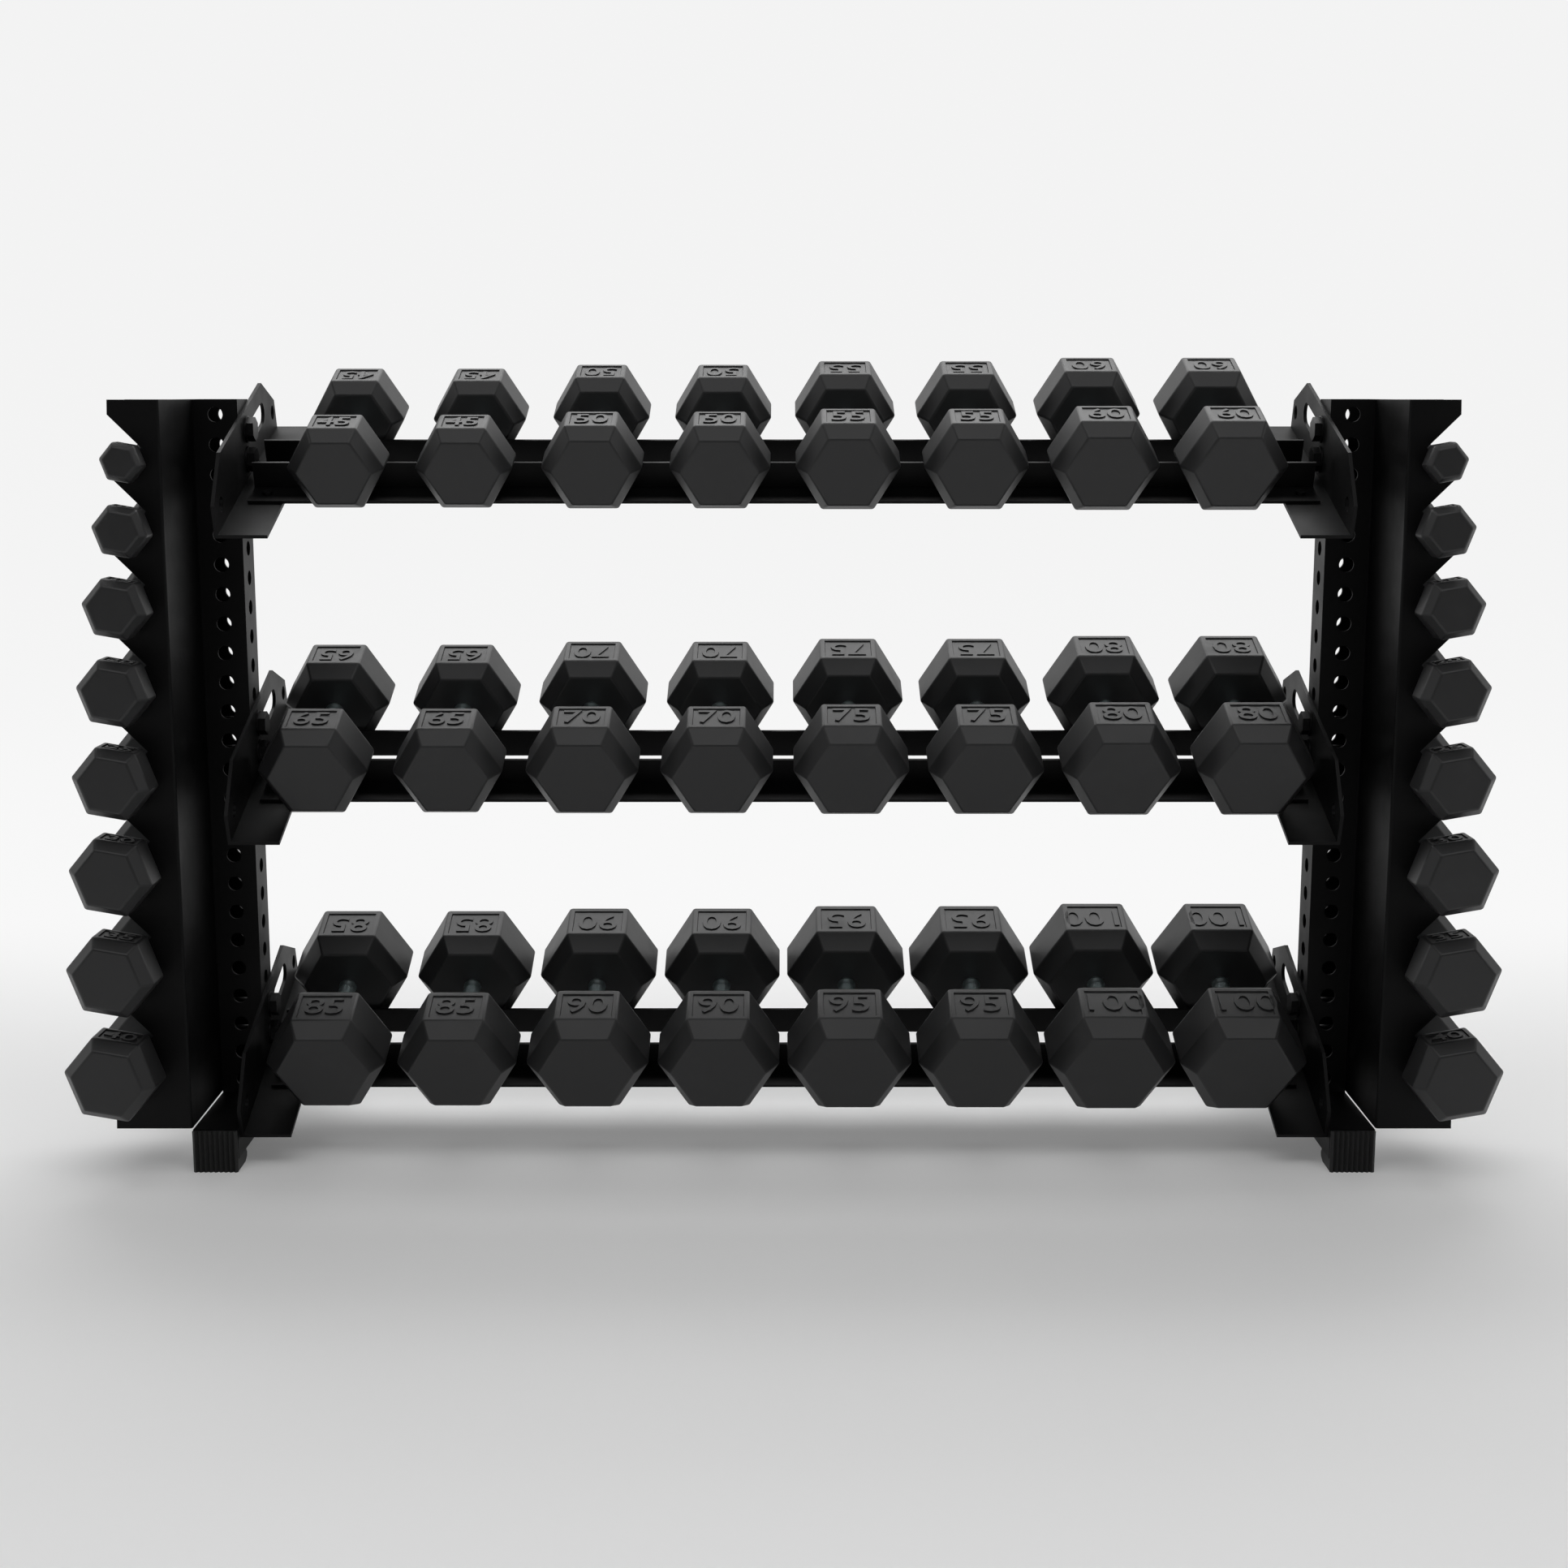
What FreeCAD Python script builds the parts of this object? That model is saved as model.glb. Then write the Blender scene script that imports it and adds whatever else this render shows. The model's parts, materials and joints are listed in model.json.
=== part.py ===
"""Three-tier dumbbell rack with side combs, and the pairs of hex dumbbells that it holds."""
import FreeCAD, Part
import math
import os

V = FreeCAD.Vector
doc = FreeCAD.newDocument("dumbbell_rack")
sheet = doc.addObject("Spreadsheet::Sheet", "sizes")

# Driving dimensions, in millimetres and degrees. X is the rack's length, Y its depth, Z up.
SIZES = {
    "tube_width": 76.2,          # square upright tube, across its faces
    "tube_wall": 4.8,
    "upright_height": 1219.2,
    "upright_spacing": 1926.8,   # centre to centre of the two uprights
    "hole_bore": 25.4,           # accessory holes in the uprights
    "hole_pitch": 50.8,
    "hole_count": 24,
    "front_hole_low": 25.4,      # lowest front hole above the upright's foot end
    "side_hole_low": 50.8,       # lowest side hole, half a pitch lower in the run
    "side_hole_count": 23,
    "foot_length": 488.0,
    "foot_height": 50.8,
    "foot_wall": 4.8,
    "pad_under": 22.0,           # rubber below the foot tube
    "pad_cap": 10.0,             # rubber in front of the foot tube's end
    "pad_length": 60.0,
    "tray_tilt": 20.0,
    "tray_low": 147.5,           # lowest tray's centre above the floor
    "tray_rise": 508.0,          # from one tray to the next
    "rail_sheet": 5.0,
    "bracket_sheet": 6.0,
    "rail_end_play": 21.3,       # rail end to the bracket plate
    "rail_length": "=upright_spacing - tube_width - 2 * (bracket_sheet + rail_end_play)",
    "rail_web": 44.0,            # web above the flange's top
    "rail_flange": 60.0,
    "web_half_gap": 54.0,        # tray centre to a web's outer face
    "bracket_half": 245.0,       # half the side plate's length
    "bracket_shoulder": 165.0,   # half the length of the plate's top edge
    "bracket_end": 45.0,         # height of the plate's end edge
    "bracket_top": 106.0,        # height of the plate above the flange tops
    "bracket_ledge": 86.0,       # width of the inward ledge that carries the rails
    "window_near": 54.0,         # the plate's long window, from the tray centre
    "window_far": 164.0,
    "window_mid": 57.0,
    "window_width": 38.0,
    "end_bore_near": -200.0,     # the plate's two end holes, from the tray centre
    "end_bore_far": 222.0,
    "end_bore_up": 30.0,
    "comb_sheet": 4.8,
    "comb_reach": 209.0,         # comb flange in front of the uprights
    "comb_top_width": 82.0,      # flange width at its top and bottom
    "comb_low_width": 127.5,
    "comb_bottom": 76.0,
    "comb_second": 99.5,         # second comb behind the first
    "comb_bend": 4.5,            # outer radius of the bend
    "notch_length": 160.0,       # longer than any notch, so that each is open outwards
    "notch_room": 0.45,          # notch width above the handle, over a head's corners
    "handle_bore": 32.0,         # dumbbell handle diameter
    "handle_gap": 114.0,         # handle length between two heads
    "seat_play": 1.0,
    "rest_play": 0.4,
    "side_roll": 10.0,
    "bolt_play": 1.4,            # bore over shank
    "bolt_shank": "=hole_bore - bolt_play",
    "bolt_head": 36.0,           # across flats
    "bolt_head_rise": 12.0,
    "bolt_tail": 4.0,            # thread that shows past the nut
    "washer_outer": 46.0,
    "washer_thick": 3.0,
    "rail_bolt_shank": 9.5,
    "rail_bolt_head": 17.0,
    "rail_bolt_rise": 5.5,
    "rail_bolt_inset": 55.3,     # rail bolts, from an upright's inner face
    "rail_bolt_place": "=(upright_spacing - tube_width) / 2 - rail_bolt_inset",
    "rail_bolt_play": 0.3,
    "rail_nut_across": 15.0,
    "rail_nut_thick": 7.0,
    "rail_bolt_tail": 9.0,       # thread below the ledge
    "pitch_top": 211.0,
    "pitch_middle": 226.0,
    "pitch_bottom": 224.0,
    "head_scale": 38.0,          # across corners = head_scale * pounds ** head_power
    "head_power": 0.38,
    "head_slim": 0.8,            # head length over its width across flats
    "bevel_run": 0.174,          # head end bevel, along the axis, over the width
    "bevel_inset": 0.117,
}
for row, (alias, value) in enumerate(SIZES.items(), start=1):
    sheet.set(f"A{row}", alias)
    sheet.set(f"B{row}", str(value))
    sheet.setAlias(f"B{row}", alias)
doc.recompute()

# Side combs, top to bottom: pounds, handle axis out from the upright's outer face, and height.
SIDE_SEATS = (
    (5, 52.5, 1193.5),
    (10, 56.5, 1085.0),
    (15, 68.5, 962.0),
    (20, 76.5, 827.0),
    (25, 84.5, 681.0),
    (30, 91.5, 527.5),
    (35, 99.5, 362.0),
    (40, 106.5, 189.5),
)
TIERS = (("bottom", 0, (85, 90, 95, 100)), ("middle", 1, (65, 70, 75, 80)), ("top", 2, (45, 50, 55, 60)))
SLOT_RISE = 45.0
BOLT_STEPS = (1, 2)              # bracket bolts, in hole pitches around each tray


def size(alias):
    """The sheet's number for one alias."""
    return float(sheet.get(alias))


TILT = math.radians(size("tray_tilt"))
ALONG = V(0, math.cos(TILT), math.sin(TILT))
NORMAL = V(0, -math.sin(TILT), math.cos(TILT))
TRAY_TURN = FreeCAD.Rotation(ALONG, NORMAL, V(1, 0, 0), "XYZ")
FOOT_TOP = size("pad_under") + size("foot_height")


def head_size(pounds):
    """Width across the corners and across the flats, and length, of one head."""
    corners = size("head_scale") * pounds ** size("head_power")
    flats = corners * math.cos(math.radians(30))
    return corners, flats, flats * size("head_slim")


# The origin is the middle of the floor under the whole object.
REAR_REACH = size("tube_width") / 2 + size("foot_length") / 2 + size("pad_cap")
SIDE_MID = -size("comb_reach") + (size("comb_second") + size("comb_sheet")) / 2
FRONT_REACH = SIDE_MID - size("handle_gap") / 2 - head_size(SIDE_SEATS[-1][0])[2]
SHIFT = -(REAR_REACH + FRONT_REACH) / 2
MIDDLE = SHIFT + size("tube_width") / 2
HALF = size("upright_spacing") / 2
INNER = HALF - size("tube_width") / 2
OUTER = HALF + size("tube_width") / 2


def primitive(kind, name, place, turn=None, **bound):
    """A Part primitive with each size bound to the sheet, or to an expression on it."""
    item = doc.addObject(kind, name)
    for prop, expression in bound.items():
        item.setExpression(prop, expression)
    item.Placement = FreeCAD.Placement(place, turn or FreeCAD.Rotation())
    return item


def cell(text):
    """An expression in which each $name is a cell of the sheet."""
    return text.replace("$", "sizes.")


def box(name, place, length, width, height, turn=None):
    return primitive("Part::Box", name, place, turn, Length=cell(length), Width=cell(width),
                     Height=cell(height))


def rod(name, place, radius, height, direction=V(0, 0, 1)):
    turn = FreeCAD.Rotation(V(0, 0, 1), direction)
    return primitive("Part::Cylinder", name, place, turn, Radius=cell(radius), Height=cell(height))


def hexagon(name, place, across, height, direction):
    turn = FreeCAD.Rotation(V(0, 0, 1), direction)
    radius = cell(f"({across}) / (2 * cos(30))")
    item = primitive("Part::Prism", name, place, turn, Circumradius=radius, Height=cell(height))
    item.Polygon = 6
    return item


def fuse(name, parts):
    item = doc.addObject("Part::MultiFuse", name)
    item.Shapes = parts
    return item


def cut(name, base, tool):
    item = doc.addObject("Part::Cut", name)
    item.Base = base
    item.Tool = tool
    return item


def group(name, parts):
    item = doc.addObject("Part::Compound", name)
    item.Links = parts
    return item


def mirrored(name, source):
    """The same piece on the right, across the middle of the rack."""
    item = doc.addObject("Part::Mirroring", name)
    item.Source = source
    item.Normal = V(1, 0, 0)
    item.Base = V(0, 0, 0)
    return item


NODES = []


def node(item, label):
    item.Label = label
    NODES.append(item)
    return item


def bolt_heights():
    """Side holes that the bracket bolts use: two for each tray, just above its centre."""
    heights = []
    lowest = FOOT_TOP + size("side_hole_low")
    for _, tier, _ in TIERS:
        tray = size("tray_low") + tier * size("tray_rise")
        first = math.floor((tray - lowest) / size("hole_pitch"))
        heights += [lowest + (first + step) * size("hole_pitch") for step in BOLT_STEPS]
    return heights


def upright():
    """Square tube with a run of holes front to back, and one side to side."""
    body = doc.addObject("PartDesign::Body", "upright_body")
    outer = body.newObject("PartDesign::AdditiveBox", "upright_outer")
    inner = body.newObject("PartDesign::SubtractiveBox", "upright_inner")
    for item, inset in ((outer, "0"), (inner, "sizes.tube_wall")):
        item.setExpression("Length", f"sizes.tube_width - 2 * {inset}")
        item.setExpression("Width", f"sizes.tube_width - 2 * {inset}")
        item.setExpression("Height", "sizes.upright_height")
        for axis in "xy":
            item.setExpression(f"Placement.Base.{axis}", inset)
    # Each run starts as one cylinder across the whole tube.
    runs = (
        ("front", FreeCAD.Rotation(V(1, 0, 0), -90), "x", "front_hole_low", "hole_count"),
        ("side", FreeCAD.Rotation(V(0, 1, 0), 90), "y", "side_hole_low", "side_hole_count"),
    )
    axis_z = next(item for item in body.Origin.OriginFeatures if item.Role == "Z_Axis")
    for name, turn, across, low, count in runs:
        bore = body.newObject("PartDesign::SubtractiveCylinder", f"{name}_bore")
        bore.Placement = FreeCAD.Placement(V(0, 0, 0), turn)
        bore.setExpression("Radius", "sizes.hole_bore / 2")
        bore.setExpression("Height", "sizes.tube_width")
        bore.setExpression(f"Placement.Base.{across}", "sizes.tube_width / 2")
        bore.setExpression("Placement.Base.z", f"sizes.{low}")
        doc.recompute()
        pattern = body.newObject("PartDesign::LinearPattern", f"{name}_bores")
        pattern.Originals = [bore]
        pattern.Direction = (axis_z, [""])
        pattern.setExpression("Length", f"(sizes.{count} - 1) * sizes.hole_pitch")
        pattern.setExpression("Occurrences", f"sizes.{count}")
        body.Tip = pattern
        doc.recompute()
    body.Placement.Base = V(-OUTER, SHIFT, FOOT_TOP)
    node(body, "upright_left")
    node(mirrored("upright_mirror", body), "upright_right")


def foot():
    """Rectangular floor tube under an upright, open at both ends under its rubber caps."""
    start = V(-OUTER, MIDDLE - size("foot_length") / 2, size("pad_under"))
    outer = box("foot_outer", start, "$tube_width", "$foot_length", "$foot_height")
    inset = V(size("foot_wall"), 0, size("foot_wall"))
    inner = box("foot_inner", start + inset, "$tube_width - 2 * $foot_wall", "$foot_length",
                "$foot_height - 2 * $foot_wall")
    left = node(cut("foot_tube", outer, inner), "foot_left")
    node(mirrored("foot_mirror", left), "foot_right")


def foot_pads():
    """Four rubber boots: a block under each tube end, with a cap over the end itself."""
    pads = []
    for side, x in (("left", -OUTER), ("right", INNER)):
        for end, sign in (("front", -1), ("rear", 1)):
            tip = MIDDLE + sign * size("foot_length") / 2
            low = tip if sign < 0 else tip - size("pad_length")
            cap = tip - size("pad_cap") if sign < 0 else tip
            under = box(f"pad_{side}_{end}", V(x, low, 0), "$tube_width", "$pad_length", "$pad_under")
            face = box(f"cap_{side}_{end}", V(x, cap, 0), "$tube_width", "$pad_cap", "$pad_under + $foot_height")
            pads.append(fuse(f"boot_{side}_{end}", [under, face]))
    node(group("boots", pads), "foot_pads")


def slot_tools(name, y, thick):
    """Open notches that rise outwards, one at each seat on the left side."""
    tools = []
    for pounds, outwards, z in SIDE_SEATS:
        x = OUTER + outwards
        play = size("handle_bore") / 2 + size("seat_play")
        room = head_size(pounds)[0] * size("notch_room")
        # The notch's own axes: outwards along the slope, and square to it.
        out = V(-math.sin(math.radians(SLOT_RISE)), 0, math.cos(math.radians(SLOT_RISE)))
        aside = V(out.z, 0, -out.x)
        corner = V(-x, y, z) - aside * play
        notch = doc.addObject("Part::Box", f"{name}_notch_{pounds}")
        notch.Length = play + room
        notch.setExpression("Width", cell(thick))
        notch.setExpression("Height", cell("$notch_length"))
        notch.Placement = FreeCAD.Placement(corner, FreeCAD.Rotation(aside, V(0, 1, 0), out, "XYZ"))
        seat = rod(f"{name}_seat_{pounds}", V(-x, y, z), "$handle_bore / 2 + $seat_play", thick, V(0, 1, 0))
        tools += [notch, seat]
    return fuse(f"{name}_notches", tools)


def comb_outline(name, y, thick):
    """A tall flange, wider at its bottom, standing out from the left web."""
    turn = FreeCAD.Rotation(V(-1, 0, 0), V(0, 0, 1), V(0, 1, 0), "XYZ")
    item = doc.addObject("Part::Wedge", name)
    item.Xmin = 0
    item.X2min = 0
    item.Ymin = 0
    item.Zmin = 0
    item.Z2min = 0
    item.setExpression("Xmax", "sizes.comb_low_width")
    item.setExpression("X2max", "sizes.comb_top_width")
    item.setExpression("Ymax", "sizes.pad_under + sizes.foot_height + sizes.upright_height - sizes.comb_bottom")
    item.setExpression("Zmax", cell(thick))
    item.setExpression("Z2max", cell(thick))
    item.Placement = FreeCAD.Placement(V(-OUTER, y, size("comb_bottom")), turn)
    return item


def combs():
    """Bent side plate: a web bolted to the upright and a notched flange turned outwards in front."""
    front = SHIFT - size("comb_reach")
    web = box("comb_web", V(-OUTER - size("comb_sheet"), front, size("comb_bottom")), "$comb_sheet",
              "$comb_reach + $tube_width", "$pad_under + $foot_height + $upright_height - $comb_bottom")
    flange = cut("comb_flange", comb_outline("comb_sheet_front", front, "$comb_sheet"),
                 slot_tools("comb_front", front, "$comb_sheet"))
    bent = fuse("comb_bent", [web, flange])
    bores = [rod(f"comb_bore_{i}", V(-OUTER - size("comb_sheet"), MIDDLE, height), "$hole_bore / 2", "$comb_sheet",
                 V(1, 0, 0)) for i, height in enumerate(bolt_heights())]
    drilled = cut("comb_drilled", bent, fuse("comb_bores", bores))
    doc.recompute()
    rounded = doc.addObject("Part::Fillet", "comb_plate")
    rounded.Base = drilled
    corner = (-OUTER, front)
    edges = [i for i, edge in enumerate(drilled.Shape.Edges, start=1)
             if all(math.hypot(v.X - corner[0], v.Y - corner[1]) < 0.01 for v in edge.Vertexes)
             and edge.Length > size("comb_sheet")]
    rounded.Edges = [(i, size("comb_bend"), size("comb_bend")) for i in edges]
    left = node(rounded, "side_comb_left")
    node(mirrored("comb_mirror", left), "side_comb_right")


def second_combs():
    """Flat notched plates welded to the webs, which carry the other end of each handle."""
    back = SHIFT - size("comb_reach") + size("comb_second")
    whole = cut("second_comb_cut", comb_outline("second_outline", back, "$comb_sheet"),
                slot_tools("comb_second", back, "$comb_sheet"))
    trim = box("second_trim", V(-OUTER - size("comb_sheet"), back, size("comb_bottom")), "$comb_sheet",
               "$comb_sheet", "$pad_under + $foot_height + $upright_height - $comb_bottom")
    left = cut("second_comb_left", whole, trim)
    node(group("second_comb_pair", [left, mirrored("second_comb_mirror", left)]), "rear_side_combs")


def tray_point(tier, along, up, x=0.0):
    """A point given along a tray's slope and square to it, from the tray's centre."""
    centre = V(x, MIDDLE, size("tray_low") + tier * size("tray_rise"))
    return centre + ALONG * along + NORMAL * up


def bracket(name, tier):
    """Side plate on the upright's inner face, with a ledge turned inwards under the rails."""
    x = -INNER
    low = size("rail_sheet") + size("bracket_sheet")
    half = size("bracket_half")
    plate = box(f"{name}_plate", tray_point(tier, -half, -low, x), "2 * $bracket_half",
                "$bracket_end + $rail_sheet + $bracket_sheet", "$bracket_sheet", TRAY_TURN)
    crown = doc.addObject("Part::Wedge", f"{name}_crown")
    for prop, expression in (
        ("Xmin", "-$bracket_half"), ("Xmax", "$bracket_half"), ("X2min", "-$bracket_shoulder"),
        ("X2max", "$bracket_shoulder"), ("Ymax", "$bracket_top - $bracket_end"), ("Zmax", "$bracket_sheet"),
        ("Z2max", "$bracket_sheet"),
    ):
        crown.setExpression(prop, cell(expression))
    for prop in ("Ymin", "Zmin", "Z2min"):
        setattr(crown, prop, 0)
    crown.Placement = FreeCAD.Placement(tray_point(tier, 0, size("bracket_end"), x), TRAY_TURN)
    ledge = box(f"{name}_ledge", tray_point(tier, -half, -low, x), "2 * $bracket_half", "$bracket_sheet",
                "$bracket_ledge", TRAY_TURN)
    tools = []
    for end in ("near", "far"):
        inset = size("window_width") / 2 * (1 if end == "near" else -1)
        tools.append(rod(f"{name}_window_{end}", tray_point(tier, size(f"window_{end}") + inset,
                     size("window_mid"), x), "$window_width / 2", "$bracket_sheet", V(1, 0, 0)))
    tools.append(box(f"{name}_window", tray_point(tier, size("window_near") + size("window_width") / 2,
                     size("window_mid") - size("window_width") / 2, x),
                     "$window_far - $window_near - $window_width", "$window_width", "$bracket_sheet", TRAY_TURN))
    for end in ("near", "far"):
        place = tray_point(tier, size(f"end_bore_{end}"), size("end_bore_up"), x)
        tools.append(rod(f"{name}_end_bore_{end}", place, "$hole_bore / 2", "$bracket_sheet", V(1, 0, 0)))
    for i, height in enumerate(bolt_heights()[2 * tier:2 * tier + 2]):
        tools.append(rod(f"{name}_bolt_bore_{i}", V(x, MIDDLE, height), "$hole_bore / 2", "$bracket_sheet",
                         V(1, 0, 0)))
    for i, place in enumerate(rail_bolt_places()):
        tools.append(rod(f"{name}_rail_bore_{i}", tray_point(tier, place, -low, -size("rail_bolt_place")),
                         "$rail_bolt_shank / 2 + $rail_bolt_play", "$bracket_sheet", NORMAL))
    left = cut(f"{name}_left", fuse(f"{name}_bent", [plate, crown, ledge]), fuse(f"{name}_tools", tools))
    node(group(f"{name}_pair", [left, mirrored(f"{name}_mirror", left)]), f"{name}_brackets")


def rail_bolt_places():
    """Distances along the slope of the front and rear rail bolts."""
    place = size("web_half_gap") + size("rail_flange") / 2
    return (-place, place)


def rails(name, tier):
    """Front and rear angle rails: upright webs, with flanges pointing away from each other."""
    pair = []
    start = -size("rail_length") / 2
    for end, sign in (("front", -1), ("rear", 1)):
        gap = size("web_half_gap")
        web_at = -gap if sign < 0 else gap - size("rail_sheet")
        flange_at = -gap - size("rail_flange") if sign < 0 else gap - size("rail_sheet")
        web = box(f"{name}_{end}_web", tray_point(tier, web_at, -size("rail_sheet"), start), "$rail_sheet",
                  "$rail_web + $rail_sheet", "$rail_length", TRAY_TURN)
        flange = box(f"{name}_{end}_flange", tray_point(tier, flange_at, -size("rail_sheet"), start),
                     "$rail_flange + $rail_sheet", "$rail_sheet", "$rail_length", TRAY_TURN)
        along = rail_bolt_places()[0 if sign < 0 else 1]
        bores = [rod(f"{name}_{end}_bore_{i}", tray_point(tier, along, -size("rail_sheet"), x),
                     "$rail_bolt_shank / 2 + $rail_bolt_play", "$rail_sheet", NORMAL)
                 for i, x in enumerate((-size("rail_bolt_place"), size("rail_bolt_place")))]
        angle = fuse(f"{name}_{end}_angle", [web, flange])
        pair.append(cut(f"{name}_{end}_rail", angle, fuse(f"{name}_{end}_bores", bores)))
    node(group(f"{name}_rail_pair", pair), f"{name}_rails")


def level_point(sign, x, height):
    """A point on an upright's own middle plane, on the left or the right."""
    return V(sign * x, MIDDLE, height)


def through_hardware():
    """Bolts through bracket, upright and comb, with a washer under each head and nut."""
    heads, washers, nuts = [], [], []
    inner = INNER - size("bracket_sheet")
    outer = OUTER + size("comb_sheet")
    thick = size("washer_thick")
    rise = size("bolt_head_rise")
    shank_length = "$tube_width + $bracket_sheet + $comb_sheet + 2 * $washer_thick + $bolt_head_rise + $bolt_tail"
    for side, sign in (("left", -1), ("right", 1)):
        out = V(sign, 0, 0)
        for i, height in enumerate(bolt_heights()):
            tag = f"{side}_{i}"
            head_at = level_point(sign, inner - thick - rise, height)
            shank_at = level_point(sign, inner - thick, height)
            nut_at = level_point(sign, outer + thick, height)
            head = hexagon(f"head_{tag}", head_at, "$bolt_head", "$bolt_head_rise", out)
            shank = rod(f"shank_{tag}", shank_at, "$bolt_shank / 2", shank_length, out)
            heads.append(fuse(f"bolt_{tag}", [head, shank]))
            for end, x in (("inner", inner - thick), ("outer", outer)):
                washer_at = level_point(sign, x, height)
                disc = rod(f"disc_{end}_{tag}", washer_at, "$washer_outer / 2", "$washer_thick", out)
                bore = rod(f"disc_bore_{end}_{tag}", washer_at, "$hole_bore / 2", "$washer_thick", out)
                washers.append(cut(f"washer_{end}_{tag}", disc, bore))
            block = hexagon(f"nut_block_{tag}", nut_at, "$bolt_head", "$bolt_head_rise", out)
            bore = rod(f"nut_bore_{tag}", nut_at, "$bolt_shank / 2", "$bolt_head_rise", out)
            nuts.append(cut(f"nut_{tag}", block, bore))
    node(group("through_bolt_set", heads), "upright_bolts")
    node(group("washer_set", washers), "upright_washers")
    node(group("nut_set", nuts), "upright_nuts")


def rail_hardware():
    """Round-head bolts down through the rails and bracket ledges, with nuts below."""
    bolts, nuts = [], []
    for _, tier, _ in TIERS:
        for i, along in enumerate(rail_bolt_places()):
            for side, x in (("left", -size("rail_bolt_place")), ("right", size("rail_bolt_place"))):
                tag = f"{tier}_{i}_{side}"
                low = size("rail_sheet") + size("bracket_sheet")
                dome = rod(f"dome_{tag}", tray_point(tier, along, 0, x), "$rail_bolt_head / 2", "$rail_bolt_rise",
                           NORMAL)
                stem = rod(f"stem_{tag}", tray_point(tier, along, -low - size("rail_bolt_tail"), x),
                           "$rail_bolt_shank / 2", "$rail_sheet + $bracket_sheet + $rail_bolt_tail", NORMAL)
                bolts.append(fuse(f"rail_bolt_{tag}", [dome, stem]))
                under = tray_point(tier, along, -low - size("rail_nut_thick"), x)
                block = hexagon(f"rail_nut_block_{tag}", under, "$rail_nut_across", "$rail_nut_thick", NORMAL)
                bore = rod(f"rail_nut_bore_{tag}", under, "$rail_bolt_shank / 2", "$rail_nut_thick", NORMAL)
                nuts.append(cut(f"rail_nut_{tag}", block, bore))
    node(group("rail_bolt_set", bolts), "rail_bolts")
    node(group("rail_nut_set", nuts), "rail_nuts")


def ring(name, radius, height):
    item = doc.addObject("Part::RegularPolygon", name)
    item.Polygon = 6
    item.Circumradius = radius
    item.Placement.Base = V(0, 0, height)
    return item


def dumbbell(pounds, side, place, turn):
    """Two bevelled hexagonal rubber heads on a steel handle, along the local Z axis."""
    tag = f"{pounds:02d}_{side}"
    corners, _, length = head_size(pounds)
    flats = corners * math.cos(math.radians(30))
    run = flats * size("bevel_run")
    small = corners / 2 * (1 - 2 * size("bevel_inset"))
    start = size("handle_gap") / 2
    solids = []
    for end, sign in (("front", -1), ("rear", 1)):
        rings = []
        for i, (radius, step) in enumerate(((small, 0), (corners / 2, run), (corners / 2, length - run),
                                            (small, length))):
            rings.append(ring(f"ring_{tag}_{end}_{i}", radius, sign * (start + step)))
        head = doc.addObject("Part::Loft", f"head_{tag}_{end}")
        head.Sections = rings
        head.Solid = True
        head.Ruled = True
        solids.append(head)
    solids.append(rod(f"handle_{tag}", V(0, 0, -start), "$handle_bore / 2", "$handle_gap"))
    whole = group(f"dumbbell_set_{tag}", solids)
    whole.Placement = FreeCAD.Placement(place, turn)
    node(whole, f"dumbbell_{tag}")


def shelf_dumbbells():
    """Four pairs on each tray, in order of weight from the left."""
    lying = FreeCAD.Rotation(V(1, 0, 0), size("tray_tilt") - 90)
    for name, tier, weights in TIERS:
        pitch = size(f"pitch_{name}")
        for i in range(2 * len(weights)):
            pounds = weights[i // 2]
            x = (i - len(weights) + 0.5) * pitch
            up = head_size(pounds)[1] / 2 + size("rest_play")
            dumbbell(pounds, "left" if i % 2 == 0 else "right", tray_point(tier, 0, up, x), lying)


def side_dumbbells():
    """One of each light weight down either side, its handle across the two combs."""
    for side, sign in (("left", -1), ("right", 1)):
        for pounds, outwards, z in SIDE_SEATS:
            roll = FreeCAD.Rotation(V(0, 1, 0), -sign * size("side_roll"))
            flat = FreeCAD.Rotation(V(1, 0, 0), -90)
            dumbbell(pounds, side, V(sign * (OUTER + outwards), SHIFT + SIDE_MID, z), roll.multiply(flat))


def write_parts():
    """Stop on any failed object or bad shape, then write one file for each node."""
    doc.recompute()
    failed = [item.Name for item in doc.Objects if "Invalid" in item.State or "Error" in item.State]
    if failed:
        raise RuntimeError(f"failed objects: {failed}")
    for item in NODES:
        if item.Shape.isNull() or not item.Shape.isValid() or not item.Shape.Solids:
            raise RuntimeError(f"bad shape: {item.Label}")
    os.makedirs("parts", exist_ok=True)
    for item in NODES:
        item.Shape.exportStep(f"parts/{item.Label}.step")
        print(item.Label, len(item.Shape.Solids), "solids", round(item.Shape.Volume / 1000), "cm3")


upright()
foot()
foot_pads()
combs()
second_combs()
for tier_name, tier_number, _ in TIERS:
    bracket(tier_name, tier_number)
    rails(tier_name, tier_number)
through_hardware()
rail_hardware()
shelf_dumbbells()
side_dumbbells()
write_parts()
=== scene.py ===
# %% [markdown]
# # A three-tier dumbbell rack
# Two perforated uprights stand on floor tubes and carry three sloped trays of angle rails.
# Pairs of rubber hex dumbbells lie on the trays, and lighter ones hang in combs at both ends.
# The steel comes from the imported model. The heads, the handles and the floor boots are made here,
# because their looks need rounded edges, raised numerals, knurling and ribs.

# %% Load the fixed frame
import bpy
import bmesh
import json
import math
from mathutils import Matrix, Vector


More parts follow.
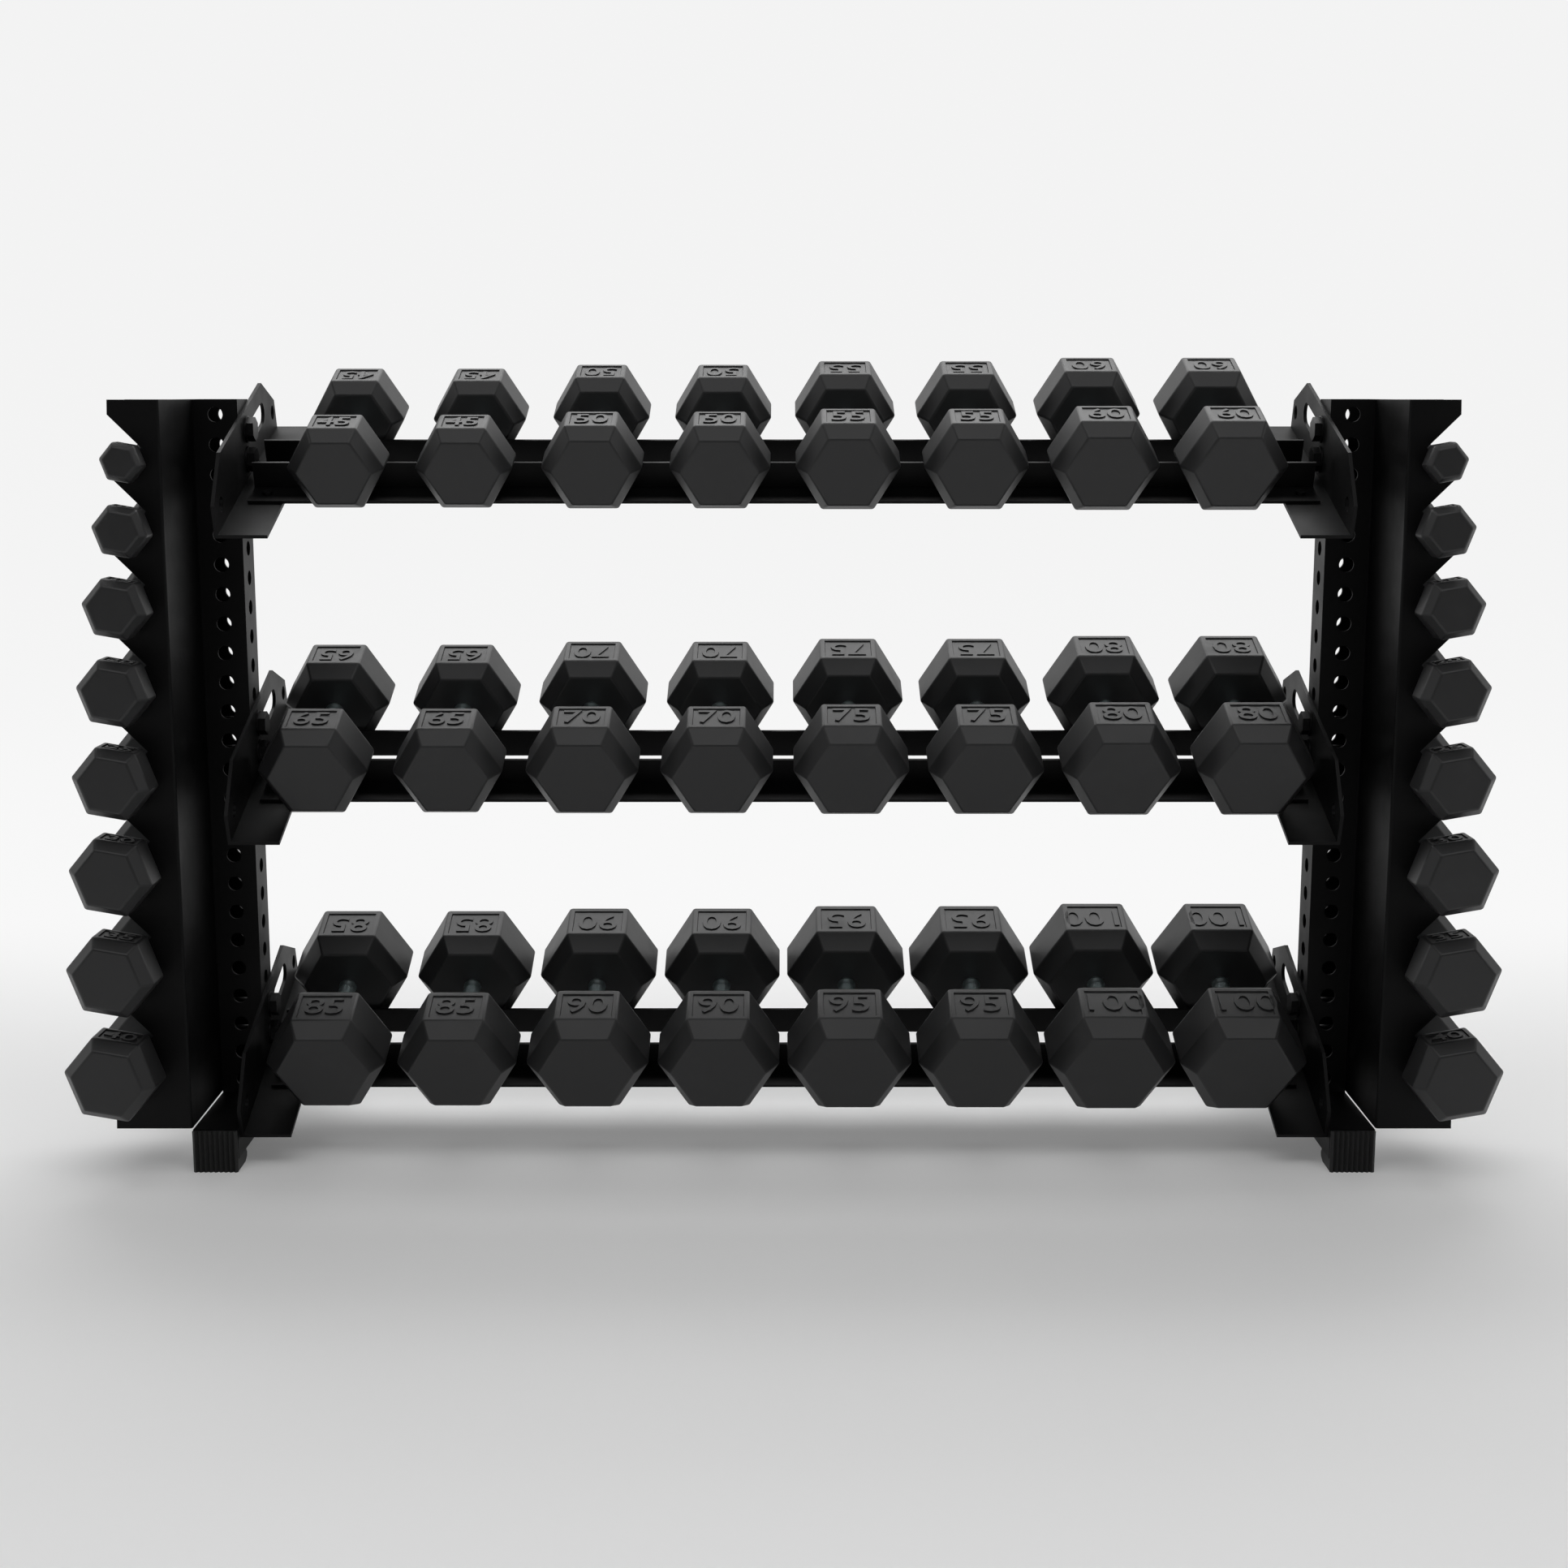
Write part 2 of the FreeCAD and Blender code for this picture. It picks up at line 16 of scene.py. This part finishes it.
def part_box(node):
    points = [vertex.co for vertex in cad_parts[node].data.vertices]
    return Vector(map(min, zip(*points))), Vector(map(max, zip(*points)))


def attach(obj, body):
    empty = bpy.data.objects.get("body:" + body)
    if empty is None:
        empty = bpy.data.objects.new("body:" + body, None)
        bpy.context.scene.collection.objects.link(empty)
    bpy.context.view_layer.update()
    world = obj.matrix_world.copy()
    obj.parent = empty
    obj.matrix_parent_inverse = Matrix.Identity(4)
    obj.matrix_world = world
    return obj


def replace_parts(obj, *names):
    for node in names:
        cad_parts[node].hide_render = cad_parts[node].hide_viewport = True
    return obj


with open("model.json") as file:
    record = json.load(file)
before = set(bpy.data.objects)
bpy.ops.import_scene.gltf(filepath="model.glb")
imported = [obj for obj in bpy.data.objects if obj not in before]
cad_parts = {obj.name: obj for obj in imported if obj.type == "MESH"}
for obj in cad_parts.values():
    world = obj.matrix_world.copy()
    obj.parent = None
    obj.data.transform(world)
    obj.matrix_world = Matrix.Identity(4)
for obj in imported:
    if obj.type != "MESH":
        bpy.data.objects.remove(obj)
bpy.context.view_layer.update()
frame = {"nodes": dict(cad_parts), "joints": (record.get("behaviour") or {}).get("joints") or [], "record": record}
joints = {joint["child"]: joint for joint in frame["joints"]}

# %% [markdown]
# ## Node expressions
# A shader or a geometry tree is easiest to read as a formula. `Value` wraps one socket, and each
# operator on it adds one Math node, so `1 - mask * 0.4` builds two nodes and their links.


# %% A wrapped socket, and a tree that adds nodes
class Value:
    def __init__(self, tree, socket):
        self.tree = tree
        self.socket = socket

    def math(self, operation, *others):
        inputs = {0: self, **dict(enumerate(others, 1))}
        return self.tree.add("ShaderNodeMath", {"operation": operation}, inputs)

    def __add__(self, other):
        return self.math("ADD", other)

    def __mul__(self, other):
        return self.math("MULTIPLY", other)

    def __sub__(self, other):
        return self.math("SUBTRACT", other)

    def __rsub__(self, other):
        return (self * -1) + other

    def __truediv__(self, other):
        return self.math("DIVIDE", other)

    __radd__ = __add__
    __rmul__ = __mul__


class Tree:
    """Adds a node from its type, its settings, and the values or links of its sockets."""

    def __init__(self, tree):
        self.tree = tree

    def add(self, kind, settings=None, inputs=None, output=0):
        item = self.tree.nodes.new(kind)
        for key, value in (settings or {}).items():
            setattr(item, key, value)
        for key, value in (inputs or {}).items():
            if isinstance(value, Value):
                self.tree.links.new(value.socket, item.inputs[key])
            else:
                item.inputs[key].default_value = value
        return Value(self, item.outputs[output])


def shader_tree(name):
    """A new material, its tree, and its Principled node, whose constants the caller sets."""
    material = bpy.data.materials.new(name)
    material.use_nodes = True
    tree = Tree(material.node_tree)
    principled = material.node_tree.nodes["Principled BSDF"]
    return material, tree, principled


def wire(tree, principled, **links):
    """Links varying values into the shader by socket name."""
    for name, value in links.items():
        tree.tree.links.new(value.socket, principled.inputs[name.replace("_", " ")])


def place(tree):
    return tree.add("ShaderNodeTexCoord", output="Object")


def noise(tree, scale, detail=3.0, rough=0.5):
    inputs = {"Vector": place(tree), "Scale": scale, "Detail": detail, "Roughness": rough}
    return tree.add("ShaderNodeTexNoise", None, inputs)


def spread(tree, value, low, high):
    """A soft mask that rises from 0 to 1 as the value goes from low to high."""
    return tree.add("ShaderNodeMapRange", {"interpolation_type": "SMOOTHSTEP"},
                    {"Value": value, "From Min": low, "From Max": high})


def tint(tree, mask, first, second):
    """The first colour where the mask is 0, and the second where it is 1."""
    inputs = {"Factor": mask, 6: (*first, 1), 7: (*second, 1)}
    return tree.add("ShaderNodeMix", {"data_type": "RGBA"}, inputs, output=2)


def bump(tree, height, distance, strength=1.0):
    return tree.add("ShaderNodeBump", None, {"Height": height, "Distance": distance, "Strength": strength})


# %% [markdown]
# ## Finishes
# The steel has a satin powder coat. It is almost black, with a very fine orange-peel grain, and
# hands and rubber leave it a little duller in broad patches.


# %% Powder coat, hardware and plated steel
def powder_coat():
    material, tree, principled = shader_tree("powder_coat")
    grain = noise(tree, 900.0, 2.0)
    patches = spread(tree, noise(tree, 7.0, 4.0), 0.35, 0.7)
    scuffs = spread(tree, noise(tree, 60.0, 6.0, 0.7), 0.66, 0.78)
    wire(tree, principled,
         Base_Color=tint(tree, scuffs * 0.5, (0.0022, 0.0022, 0.0024), (0.010, 0.010, 0.0105)),
         Roughness=0.40 + patches * 0.12 + grain * 0.08,
         Normal=bump(tree, grain, 0.0002, 0.5))
    principled.inputs["Specular IOR Level"].default_value = 0.16
    return material


def hardware_black():
    material, tree, principled = shader_tree("black_hardware")
    grain = noise(tree, 500.0, 3.0)
    rub = spread(tree, noise(tree, 120.0, 5.0, 0.7), 0.55, 0.75)
    wire(tree, principled,
         Base_Color=tint(tree, rub, (0.006, 0.006, 0.0065), (0.03, 0.03, 0.031)),
         Roughness=0.34 + grain * 0.14,
         Normal=bump(tree, grain, 0.0001, 0.4))
    principled.inputs["Metallic"].default_value = 0.6
    return material


def plated_steel():
    material, tree, principled = shader_tree("plated_steel")
    haze = noise(tree, 40.0, 4.0)
    fine = noise(tree, 1400.0, 2.0)
    wire(tree, principled,
         Base_Color=tint(tree, spread(tree, haze, 0.4, 0.7), (0.80, 0.93, 0.94), (0.64, 0.78, 0.79)),
         Roughness=0.26 + haze * 0.14,
         Normal=bump(tree, fine, 0.00008, 0.3))
    principled.inputs["Metallic"].default_value = 1.0
    return material


# %% [markdown]
# The heads are moulded rubber over iron. Rubber is not as dark as the steel, its sheen is broad,
# and the mould leaves a faint mottle. Dust from the floor and hands shows as lighter, rougher cloud.


# %% Rubber for the heads and for the boots
def rubber(name, dark, light, rough):
    material, tree, principled = shader_tree(name)
    mottle = noise(tree, 26.0, 5.0, 0.6)
    grain = noise(tree, 1100.0, 2.0)
    chalk = spread(tree, noise(tree, 9.0, 6.0, 0.65), 0.5, 0.8)
    wire(tree, principled,
         Base_Color=tint(tree, chalk * 0.6 + mottle * 0.25, dark, light),
         Roughness=rough + chalk * 0.10 + mottle * 0.08,
         Normal=bump(tree, grain * 0.5 + mottle, 0.00025, 0.5))
    principled.inputs["Specular IOR Level"].default_value = 0.5
    return material


FINISH = {
    "powder_coat": powder_coat(),
    "black_hardware": hardware_black(),
    "plated_steel": plated_steel(),
    "head_rubber": rubber("head_rubber", (0.011, 0.011, 0.0115), (0.026, 0.026, 0.027), 0.40),
    "foot_rubber": rubber("foot_rubber", (0.004, 0.004, 0.004), (0.014, 0.014, 0.014), 0.55),
}
slots = {entry["node"]: entry["material_slot"] for entry in frame["record"]["subparts"]}
for name, item in frame["nodes"].items():
    item.data.materials.clear()
    item.data.materials.append(FINISH[slots[name]])
print("finishes:", ", ".join(FINISH))

# %% [markdown]
# ## One dumbbell head
# Each head is a hexagon with its flats up and down, and wide bevels at both ends. The edges of
# moulded rubber are never sharp, so every edge gets a small radius. The top flat carries a sunk
# panel, and the weight stands up from it. Front and back heads are the same part turned round.

# %% Sizes shared by all the dumbbells
HANDLE_GAP = 0.114
HANDLE_RADIUS = 0.016
HEAD_SLIM = 0.8
BEVEL_RUN = 0.174
BEVEL_INSET = 0.117
EDGE_RADIUS = 0.0028
PANEL_DEPTH = 0.0022
NUMERAL_RISE = 0.0022
NUMERAL_HEIGHT = 0.36       # of the width across the flats
NUMERAL_STRETCH = 1.12
NUMERAL_BOLD = 0.0003
PANEL_MARGIN = 0.045        # of the width across the flats
PANEL_SLOPE = 0.0012
EDGE_FACE_AREA = 0.0002     # faces smaller than this belong to a rounded edge


# %% The head's mesh
def head(corners):
    """One head, out along +Z from the handle's end, with its panel facing +Y."""
    flats = corners * math.cos(math.radians(30))
    length = flats * HEAD_SLIM
    run = flats * BEVEL_RUN
    small = 1 - 2 * BEVEL_INSET
    start = HANDLE_GAP / 2
    mesh = bmesh.new()
    rings = []
    for scale, out in ((small, 0), (1, run), (1, length - run), (small, length)):
        rings.append([mesh.verts.new((corners / 2 * scale * math.cos(math.radians(60 * i)),
                                      corners / 2 * scale * math.sin(math.radians(60 * i)), start + out))
                      for i in range(6)])
    mesh.faces.new(reversed(rings[0]))
    mesh.faces.new(rings[-1])
    for lower, upper in zip(rings, rings[1:]):
        for i in range(6):
            j = (i + 1) % 6
            mesh.faces.new((lower[i], lower[j], upper[j], upper[i]))
    bmesh.ops.bevel(mesh, geom=mesh.edges[:], offset=EDGE_RADIUS, segments=3, affect="EDGES", profile=0.5)
    mesh.normal_update()
    for face in mesh.faces:
        face.smooth = face.calc_area() < EDGE_FACE_AREA
    panel = max((face for face in mesh.faces if face.normal.y > 0.99), key=lambda face: face.calc_area())
    bmesh.ops.inset_individual(mesh, faces=[panel], thickness=flats * PANEL_MARGIN)
    bmesh.ops.inset_individual(mesh, faces=[panel], thickness=PANEL_SLOPE, depth=-PANEL_DEPTH)
    return mesh, flats, start + length / 2


def numeral(text, flats):
    """The weight as a thin solid, centred, its face towards +Y and its top towards -Z."""
    font = bpy.data.curves.new("numeral", "FONT")
    font.body = text
    font.size = flats * NUMERAL_HEIGHT
    font.extrude = NUMERAL_RISE
    font.offset = NUMERAL_BOLD
    font.resolution_u = 3
    font.align_x = "CENTER"
    font.align_y = "CENTER"
    holder = bpy.data.objects.new("numeral", font)
    bpy.context.collection.objects.link(holder)
    made = bpy.data.meshes.new_from_object(holder.evaluated_get(bpy.context.evaluated_depsgraph_get()))
    bpy.data.objects.remove(holder)
    made.transform(Matrix(((NUMERAL_STRETCH, 0, 0, 0), (0, 0, 1, 0), (0, -1, 0, 0), (0, 0, 0, 1))))
    return made


def both_heads(pounds, corners):
    """A pair of heads with their numerals, in the dumbbell's own axes."""
    shell, flats, middle = head(corners)
    digits = numeral(str(pounds), flats)
    digits.transform(Matrix.Translation((0, flats / 2 - PANEL_DEPTH, middle)))
    shell.from_mesh(digits)
    one = bpy.data.meshes.new("head")
    shell.to_mesh(one)
    shell.from_mesh(one)
    turned = shell.verts[len(one.vertices):]
    bmesh.ops.rotate(shell, verts=turned, cent=(0, 0, 0), matrix=Matrix.Rotation(math.pi, 3, "Y"))
    pair = bpy.data.meshes.new(f"heads_{pounds}")
    shell.to_mesh(pair)
    shell.free()
    return pair


# %% [markdown]
# ## The handle
# The grip is plated steel, thickest in the middle of the palm, and knurled. The knurl is a field
# of small four-sided points, staggered from ring to ring. That is one rule repeated a few hundred
# times, so a Geometry Nodes tree places them, and its inputs name the count and the sizes.


# %% A contoured grip
COLLAR_FROM = 0.86          # from the middle of the grip, as a share of half its length
COLLAR_WIDTH = 0.98         # of the handle's radius
GRIP_WAIST = 0.80
GRIP_SWELL = 0.155
GRIP_STEPS = 24
GRIP_SIDES = 40
GRIP_OVERLAP = 0.001        # into each head
KNURL_LENGTH = 0.084
KNURL_POINTS_ROUND = 26
KNURL_RINGS = 29
KNURL_SIZE = 0.0019
KNURL_POINT_DEPTH = 0.34    # of a point's radius


def grip_radius(along):
    """Radius at a place along the grip, from -1 to 1, with a collar against each head."""
    if abs(along) > COLLAR_FROM:
        return HANDLE_RADIUS * COLLAR_WIDTH
    return HANDLE_RADIUS * (GRIP_WAIST + GRIP_SWELL * (1 - along * along))


def grip():
    mesh = bmesh.new()
    rings = []
    for k in range(GRIP_STEPS + 1):
        along = 2 * k / GRIP_STEPS - 1
        radius = grip_radius(along)
        height = along * (HANDLE_GAP / 2 + GRIP_OVERLAP)
        angles = [2 * math.pi * i / GRIP_SIDES for i in range(GRIP_SIDES)]
        rings.append([mesh.verts.new((radius * math.cos(a), radius * math.sin(a), height)) for a in angles])
    for lower, upper in zip(rings, rings[1:]):
        for i in range(GRIP_SIDES):
            j = (i + 1) % GRIP_SIDES
            mesh.faces.new((lower[i], lower[j], upper[j], upper[i]))
    mesh.faces.new(reversed(rings[0]))
    mesh.faces.new(rings[-1])
    for face in mesh.faces:
        face.smooth = len(face.verts) == 4
    return mesh


# %% The knurling tree
def geometry_tree(name, sizes):
    """A tree with named inputs, each with its value, and a Value for each of them."""
    group = bpy.data.node_groups.new(name, "GeometryNodeTree")
    group.interface.new_socket("Geometry", in_out="OUTPUT", socket_type="NodeSocketGeometry")
    for label, value in sizes.items():
        kind = "NodeSocketInt" if isinstance(value, int) else "NodeSocketFloat"
        group.interface.new_socket(label, in_out="INPUT", socket_type=kind).default_value = value
    nodes = Tree(group)
    given = group.nodes.new("NodeGroupInput")
    return nodes, [Value(nodes, given.outputs[label]) for label in sizes]


def end_tree(nodes, instances, finish):
    """Real geometry in place of the instances, with its material, as the tree's output."""
    solid = nodes.add("GeometryNodeRealizeInstances", None, {0: instances})
    painted = nodes.add("GeometryNodeSetMaterial", None, {"Geometry": solid, "Material": FINISH[finish]})
    nodes.tree.links.new(painted.socket, nodes.tree.nodes.new("NodeGroupOutput").inputs[0])
    return nodes.tree


def knurl_tree():
    nodes, (around, rings, length, size) = geometry_tree("knurling", {
        "Points round": KNURL_POINTS_ROUND, "Rings": KNURL_RINGS, "Knurled length": KNURL_LENGTH,
        "Point size": KNURL_SIZE})
    index = nodes.add("GeometryNodeInputIndex")
    ring = (index / around).math("FLOOR")
    turn = (index - ring * around + ring.math("MODULO", 2.0) * 0.5) * (2 * math.pi) / around
    along = ring / (rings - 1) * 2 - 1
    height = along * length * 0.5
    share = height / (HANDLE_GAP / 2)
    radius = (1 - share * share) * (HANDLE_RADIUS * GRIP_SWELL) + HANDLE_RADIUS * GRIP_WAIST
    facing = nodes.add("ShaderNodeCombineXYZ", None, {0: turn.math("COSINE"), 1: turn.math("SINE")})
    spot = nodes.add("ShaderNodeCombineXYZ", None, {0: turn.math("COSINE") * radius,
                                                    1: turn.math("SINE") * radius, 2: height})
    points = nodes.add("GeometryNodePoints", None, {"Count": around * rings, "Position": spot})
    cone = nodes.add("GeometryNodeMeshCone", {"fill_type": "NGON"},
                     {"Vertices": 4, "Radius Bottom": size, "Depth": size * KNURL_POINT_DEPTH})
    aligned = nodes.add("FunctionNodeAlignRotationToVector", {"axis": "Z", "pivot_axis": "AUTO"},
                        {"Vector": facing})
    inputs = {"Points": points, "Instance": cone, "Rotation": aligned}
    return end_tree(nodes, nodes.add("GeometryNodeInstanceOnPoints", None, inputs), "plated_steel")


def from_tree(tree, **inputs):
    """Evaluates a tree on an empty object, with its inputs set by identifier, as a plain mesh."""
    holder = bpy.data.objects.new("tree_holder", bpy.data.meshes.new("tree_holder"))
    bpy.context.collection.objects.link(holder)
    modifier = holder.modifiers.new("tree", "NODES")
    modifier.node_group = tree
    ids = {socket.name: socket.identifier for socket in tree.interface.items_tree if socket.in_out == "INPUT"}
    for name, value in inputs.items():
        modifier[ids[name.replace("_", " ")]] = value
    made = bpy.data.meshes.new_from_object(holder.evaluated_get(bpy.context.evaluated_depsgraph_get()))
    bpy.data.objects.remove(holder)
    return made


knurl = from_tree(knurl_tree(), Knurled_length=KNURL_LENGTH)
print("knurl:", len(knurl.polygons), "faces")
whole_grip = grip()
whole_grip.from_mesh(knurl)
handle_mesh = bpy.data.meshes.new("handle")
whole_grip.to_mesh(handle_mesh)
whole_grip.free()

# %% [markdown]
# ## Forty dumbbells in their places
# A dumbbell's node gives its middle and its width across the corners, and its joint says whether
# it lies on a sloped tray or hangs in a comb. On a tray the lift is square to the slope. In a
# comb it hangs level, rolled a little towards the upright.

# %% Place each pair of heads and its handle
SIDE_ROLL = math.radians(10)
LEVEL = 0.01                # a lift with less sideways share than this is a tray's


def dumbbell_axes(name):
    """Rotation from the dumbbell's axes to the frame, and its width across the corners."""
    lift = Vector(joints[name]["axis"])
    low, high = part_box(name)
    wide = high.x - low.x
    if abs(lift.x) < LEVEL:
        across, up = Vector((1, 0, 0)), lift.normalized()
    else:
        side = 1 if lift.x < 0 else -1
        across = Vector((math.cos(SIDE_ROLL), 0, -side * math.sin(SIDE_ROLL)))
        up = Vector((side * math.sin(SIDE_ROLL), 0, math.cos(SIDE_ROLL)))
        wide /= math.cos(SIDE_ROLL)
    front = across.cross(up)
    turn = Matrix((across, up, front)).transposed().to_4x4()
    return Matrix.Translation((low + high) / 2) @ turn, wide


def piece(name, mesh, finish, body):
    """A finished piece: its place is in its mesh, and it rides on its body."""
    mesh.materials.clear()
    mesh.materials.append(FINISH[finish])
    item = bpy.data.objects.new(name, mesh)
    bpy.context.collection.objects.link(item)
    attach(item, body)
    return item


for name in sorted(joints):
    where, corners = dumbbell_axes(name)
    pounds = int(name.split("_")[1])
    heads = both_heads(pounds, corners)
    heads.transform(where)
    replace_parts(piece(name.replace("dumbbell", "heads"), heads, "head_rubber", name), name)
    grip_copy = handle_mesh.copy()
    grip_copy.transform(where)
    piece(name.replace("dumbbell", "handle"), grip_copy, "plated_steel", name)
print("dumbbells:", len(joints))

# %% [markdown]
# ## Ribbed boots
# A rubber boot closes each end of a floor tube and spreads the load. Its end face has vertical
# ribs. The block is modelled from its side outline, and the ribs are one tree: a row of thin
# square bars, each turned to show an edge.

# %% One boot
BOOT_UNDER = 0.022
BOOT_LENGTH = 0.060
BOOT_CAP = 0.010
RIB_RISE = 0.0041
RIB_COUNT = 9
RIB_TOP_GAP = 0.0005
BOOT_EDGE = 0.0012
BOOT_SIDE_GAP = 0.0006
BOOT_TOP_GAP = 0.001
HEEL_FLAT = 0.014           # the heel's slope, back from its flat underside and up
HEEL_STEP = 0.002
HEEL_LOW = 0.006
HEEL_SHOULDER = 0.014
HEEL_TOP = 0.006


def rib_tree(width, height):
    sizes = {"Ribs": RIB_COUNT, "Width": width, "Height": height}
    nodes, (ribs, wide, tall) = geometry_tree("boot_ribs", sizes)
    step = wide / ribs
    first = nodes.add("ShaderNodeCombineXYZ", None, {0: (step - wide) * 0.5, 2: tall * 0.5})
    along = nodes.add("ShaderNodeCombineXYZ", None, {0: step})
    row = nodes.add("GeometryNodeMeshLine", None, {"Count": ribs, "Start Location": first, "Offset": along})
    bar = nodes.add("GeometryNodeMeshCylinder", None, {"Vertices": 4, "Radius": RIB_RISE, "Depth": tall})
    inputs = {"Points": row, "Instance": bar}
    return end_tree(nodes, nodes.add("GeometryNodeInstanceOnPoints", None, inputs), "foot_rubber")


def boot_block(width, height):
    """The boot from its side outline: a cap in front of the tube and a heel under it. Front is -Y."""
    back = BOOT_LENGTH
    cap = -BOOT_CAP + RIB_RISE
    outline = [(cap, 0.0), (back - HEEL_FLAT, 0.0), (back - HEEL_STEP, HEEL_LOW), (back, HEEL_SHOULDER),
               (back - HEEL_TOP, BOOT_UNDER), (0.0, BOOT_UNDER), (0.0, height - BOOT_TOP_GAP),
               (cap, height - BOOT_TOP_GAP)]
    mesh = bmesh.new()
    left = [mesh.verts.new((-width / 2 + BOOT_SIDE_GAP, y, z)) for y, z in outline]
    right = [mesh.verts.new((width / 2 - BOOT_SIDE_GAP, y, z)) for y, z in outline]
    mesh.faces.new(left)
    mesh.faces.new(reversed(right))
    for i in range(len(outline)):
        j = (i + 1) % len(outline)
        mesh.faces.new((left[j], left[i], right[i], right[j]))
    bmesh.ops.recalc_face_normals(mesh, faces=mesh.faces[:])
    bmesh.ops.bevel(mesh, geom=mesh.edges[:], offset=BOOT_EDGE, segments=2, affect="EDGES", profile=0.5)
    return mesh


def boots():
    """All four boots as one piece, two turned to face the back."""
    low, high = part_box("foot_left")
    tube = high.x - low.x
    tall = high.z - RIB_TOP_GAP
    ribs = from_tree(rib_tree(tube, tall), Ribs=RIB_COUNT)
    ribs.transform(Matrix.Translation((0, -BOOT_CAP + RIB_RISE, 0)))
    one = boot_block(tube, high.z)
    one.from_mesh(ribs)
    single = bpy.data.meshes.new("boot")
    one.to_mesh(single)
    one.free()
    whole = bmesh.new()
    for node in ("foot_left", "foot_right"):
        low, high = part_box(node)
        middle = (low.x + high.x) / 2
        for end, turn in ((low.y, 0.0), (high.y, math.pi)):
            copy = single.copy()
            copy.transform(Matrix.Translation((middle, end, 0)) @ Matrix.Rotation(turn, 4, "Z"))
            whole.from_mesh(copy)
    made = bpy.data.meshes.new("boots")
    whole.to_mesh(made)
    whole.free()
    return made


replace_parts(piece("boots", boots(), "foot_rubber", "rack"), "foot_pads")

# %% [markdown]
# ## Room, light and camera
# The room is one pale sheet: a floor that curves up into a wall, so no line shows behind the rack.
# The sheet carries painted light: a weak glow on the open floor lifts its shadows, and a bright glow from farther
# behind the rack and up the wall stands in for a lit backdrop, leaving the floor just behind the rack darker as
# painted shade. Broad panels above, in front and at the sides draw thin bright edges on the dark parts.

# %% Floor and wall as one sweep
ROOM_WIDTH = 40.0
WALL_AT = 9.0
CURVE_RADIUS = 5.0
CURVE_STEPS = 24
WALL_TOP = 16.0
FLOOR_FRONT = -12.0
# Where the room's painted glow begins and where it is full, along the depth behind the rack.
PAINTED_GLOW_STARTS = 0.3
PAINTED_GLOW_FULL = 1.7


def sweep():
    mesh = bmesh.new()
    outline = [(FLOOR_FRONT, 0.0)]
    outline += [(WALL_AT - CURVE_RADIUS + CURVE_RADIUS * math.sin(a), CURVE_RADIUS * (1 - math.cos(a)))
                for a in (math.pi / 2 * i / CURVE_STEPS for i in range(CURVE_STEPS + 1))]
    outline.append((WALL_AT, WALL_TOP))
    left = [mesh.verts.new((-ROOM_WIDTH / 2, y, z)) for y, z in outline]
    right = [mesh.verts.new((ROOM_WIDTH / 2, y, z)) for y, z in outline]
    for i in range(len(outline) - 1):
        mesh.faces.new((left[i], right[i], right[i + 1], left[i + 1])).smooth = True
    made = bpy.data.meshes.new("room")
    mesh.to_mesh(made)
    mesh.free()
    material, tree, principled = shader_tree("room_paint_and_painted_light")
    depth = tree.add("ShaderNodeSeparateXYZ", None, {0: place(tree)}, output=1)
    # Painted light: the glow rises with depth, so the floor just behind the rack stays darker as painted shade and
    # the wall glows in place of a lit backdrop.
    painted_glow = spread(tree, depth, PAINTED_GLOW_STARTS, PAINTED_GLOW_FULL)
    wire(tree, principled,
         Base_Color=tint(tree, painted_glow, (0.80, 0.80, 0.80), (0.05, 0.05, 0.05)),
         # Painted light: 0.11 is a weak glow that lifts the floor's shadows, 0.88 the glow that stands in for the
         # lit backdrop.
         Emission_Color=tint(tree, painted_glow, (0.11, 0.11, 0.11), (0.88, 0.88, 0.88)))
    principled.inputs["Emission Strength"].default_value = 1.0
    principled.inputs["Roughness"].default_value = 0.9
    principled.inputs["Specular IOR Level"].default_value = 0.1
    made.materials.append(material)
    room = bpy.data.objects.new("room", made)
    bpy.context.collection.objects.link(room)


sweep()


# %% Lights
def panel_light(name, place_at, aim, wide, tall, power):
    data = bpy.data.lights.new(name, "AREA")
    data.shape = "RECTANGLE"
    data.size = wide
    data.size_y = tall
    data.energy = power
    lamp = bpy.data.objects.new(name, data)
    lamp.location = place_at
    lamp.rotation_euler = (Vector(aim) - Vector(place_at)).to_track_quat("-Z", "Y").to_euler()
    bpy.context.collection.objects.link(lamp)


# Name, place, what it points at, width, height and power.
PANELS = (
    ("top", (0, 2.4, 4.4), (0, 0, 0.6), 6.0, 2.0, 115),
    ("overhead", (0, -1.5, 5.5), (0, -1.2, 0), 6.0, 3.0, 40),
    ("front_high", (0, -3.4, 5.0), (0, 0, 0.6), 7.0, 1.5, 60),
    ("left", (-5.0, -0.6, 2.2), (0, 0, 0.7), 1.5, 3.0, 25),
    ("right", (5.0, -0.6, 2.2), (0, 0, 0.7), 1.5, 3.0, 25),
)
for panel in PANELS:
    panel_light(*panel)
world = bpy.data.worlds.new("studio")
world.use_nodes = True
world.node_tree.nodes["Background"].inputs["Color"].default_value = (1, 1, 1, 1)
world.node_tree.nodes["Background"].inputs["Strength"].default_value = 0.10
bpy.context.scene.world = world
bpy.context.scene.view_settings.view_transform = "Standard"

# %% Camera, level with the top of the rack and tipped down
CAMERA_AHEAD = 3.836
CAMERA_HEIGHT = 1.303
CAMERA_TIP = 9.93
CAMERA_LENS = 51.33
camera = bpy.data.objects.new("camera", bpy.data.cameras.new("camera"))
camera.data.lens = CAMERA_LENS
camera.location = (0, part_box("upright_left")[0].y - CAMERA_AHEAD, CAMERA_HEIGHT)
camera.rotation_euler = (math.radians(90 - CAMERA_TIP), 0, 0)
bpy.context.collection.objects.link(camera)
bpy.context.scene.camera = camera
